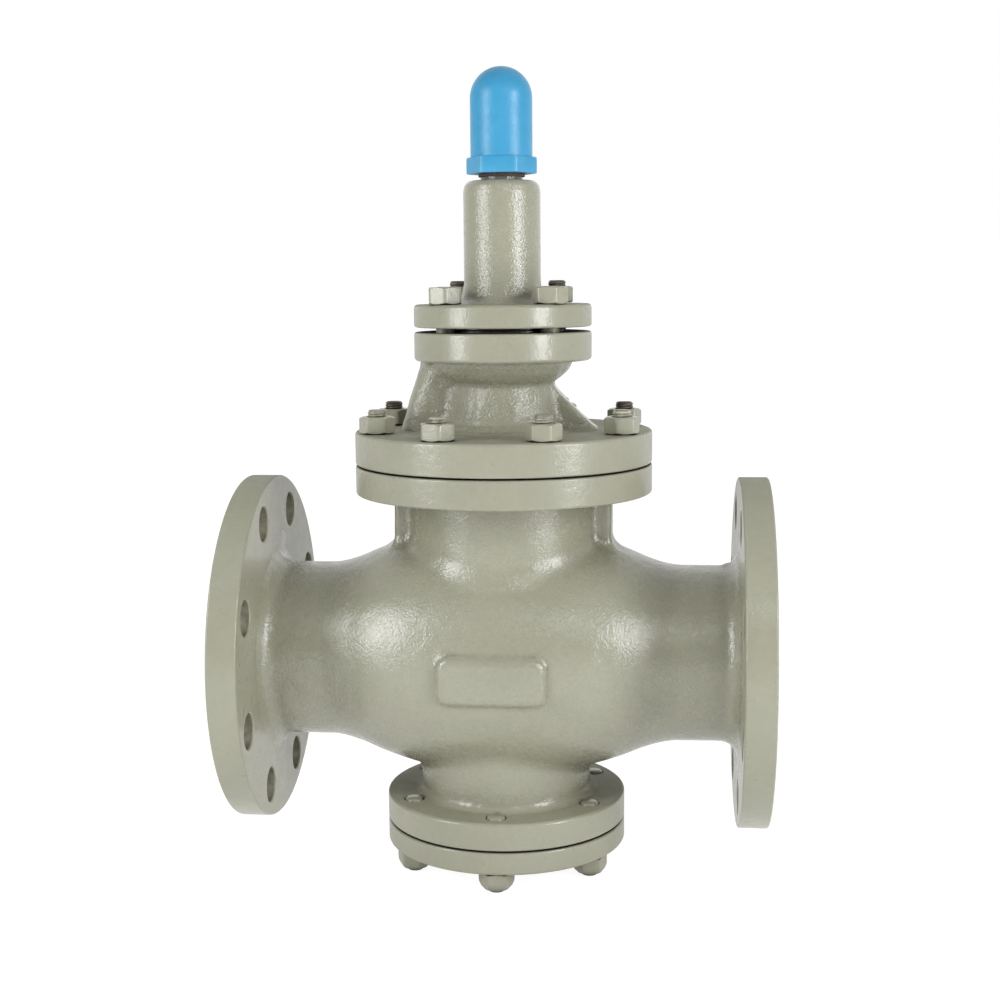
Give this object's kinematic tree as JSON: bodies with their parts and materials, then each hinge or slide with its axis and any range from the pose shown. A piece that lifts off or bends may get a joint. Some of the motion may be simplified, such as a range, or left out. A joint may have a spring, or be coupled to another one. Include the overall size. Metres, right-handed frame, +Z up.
{
  "type": "pressure reducing valve",
  "caption": "Flanged pilot-operated piston pressure reducing valve with a bolted bonnet, a spring housing under a domed cap and a bolted bottom cover.",
  "frame": {"origin": "on the floor under the centre of the valve, where its vertical axis meets the plane of the bottom stud ends", "axes": "+X along the pipe towards the outlet, +Z up along the valve's axis, +Y to the rear, away from the nameplate pad"},
  "size_m": [0.35, 0.23, 0.5237],
  "materials": {
    "paint": "glossy stone-grey enamel over a cast steel surface",
    "cap_plastic": "semi-gloss blue moulded plastic",
    "dark_steel": "dark oxidised steel thread",
    "stainless": "machined stainless steel",
    "spring_steel": "dark spring steel wire",
    "ring_iron": "ground grey iron",
    "graphite": "matt compressed graphite sheet",
    "red_fibre": "dark red-brown fibre washer"
  },
  "bodies": {
    "valve_body": {"body": "paint", "bottom_cover": "paint", "bottom_gasket": "graphite", "seat_ring": "stainless", "cylinder_liner": "stainless", "main_spring": "spring_steel", "bonnet": "paint", "bonnet_gasket": "graphite", "pilot_seat": "stainless", "pilot_spring": "spring_steel", "diaphragm": "stainless", "spring_housing": "paint", "adjusting_spring": "spring_steel", "bonnet_stud_1": "dark_steel", "bonnet_nut_1": "paint", "bonnet_stud_2": "dark_steel", "bonnet_nut_2": "paint", "bonnet_stud_3": "dark_steel", "bonnet_nut_3": "paint", "bonnet_stud_4": "dark_steel", "bonnet_nut_4": "paint", "bonnet_stud_5": "dark_steel", "bonnet_nut_5": "paint", "bonnet_stud_6": "dark_steel", "bonnet_nut_6": "paint", "bonnet_stud_7": "dark_steel", "bonnet_nut_7": "paint", "bonnet_stud_8": "dark_steel", "bonnet_nut_8": "paint", "housing_stud_1": "dark_steel", "housing_nut_1": "paint", "housing_stud_2": "dark_steel", "housing_nut_2": "paint", "housing_stud_3": "dark_steel", "housing_nut_3": "paint", "housing_stud_4": "dark_steel", "housing_nut_4": "paint", "bottom_stud_1": "paint", "bottom_nut_1": "paint", "bottom_stud_2": "paint", "bottom_nut_2": "paint", "bottom_stud_3": "paint", "bottom_nut_3": "paint", "bottom_stud_4": "paint", "bottom_nut_4": "paint", "bottom_stud_5": "paint", "bottom_nut_5": "paint", "bottom_stud_6": "paint", "bottom_nut_6": "paint"},
    "lower_spring_seat": {"lower_spring_seat": "dark_steel"},
    "pilot_valve": {"pilot_valve": "stainless"},
    "main_disc": {"main_disc": "stainless"},
    "piston": {"piston": "stainless", "piston_ring_1": "ring_iron", "piston_ring_2": "ring_iron"},
    "upper_spring_seat": {"upper_spring_seat": "dark_steel"},
    "adjusting_screw": {"adjusting_screw": "dark_steel"},
    "lock_nut": {"lock_nut": "dark_steel"},
    "cap_seal": {"cap_seal": "red_fibre"},
    "cap": {"cap": "cap_plastic"}
  },
  "joints": [
    {"name": "main_disc_travel", "type": "slide", "parent": "valve_body", "child": "main_disc", "axis": [0, 0, 1], "range_m": [-0.018, 0], "stiffness_N_per_m": 4000, "springref_m": 0.012, "deforming": ["main_spring"]},
    {"name": "piston_travel", "type": "slide", "parent": "valve_body", "child": "piston", "axis": [0, 0, 1], "range_m": [-0.018, 0]},
    {"name": "pilot_valve_travel", "type": "slide", "parent": "valve_body", "child": "pilot_valve", "axis": [0, 0, 1], "range_m": [-0.0015, 0], "stiffness_N_per_m": 2000, "springref_m": 0.004, "deforming": ["pilot_spring", "diaphragm"]},
    {"name": "diaphragm_button_travel", "type": "slide", "parent": "valve_body", "child": "lower_spring_seat", "axis": [0, 0, 1], "range_m": [-0.0015, 0]},
    {"name": "upper_seat_travel", "type": "slide", "parent": "valve_body", "child": "upper_spring_seat", "axis": [0, 0, 1], "range_m": [-0.0105, 0], "deforming": ["adjusting_spring"]},
    {"name": "screw_turn", "type": "hinge", "parent": "upper_spring_seat", "child": "adjusting_screw", "pos_m": [0, 0, 0.46], "axis": [0, 0, 1], "range_deg": [-2160, 0]},
    {"name": "lock_nut_turn", "type": "hinge", "parent": "valve_body", "child": "lock_nut", "pos_m": [0, 0, 0.4738], "axis": [0, 0, 1], "range_deg": [0, 360]},
    {"name": "cap_lift", "type": "slide", "parent": "valve_body", "child": "cap_seal", "axis": [0, 0, 1], "range_m": [0, 0.06]},
    {"name": "cap_turn", "type": "hinge", "parent": "cap_seal", "child": "cap", "pos_m": [0, 0, 0.48], "axis": [0, 0, 1], "continuous": true}
  ],
  "couplings": [
    {"joint": "piston_travel", "follows": "main_disc_travel", "ratio": 1},
    {"joint": "diaphragm_button_travel", "follows": "pilot_valve_travel", "ratio": 1},
    {"joint": "screw_turn", "follows": "upper_seat_travel", "rad_per_m": 3590.4}
  ]
}
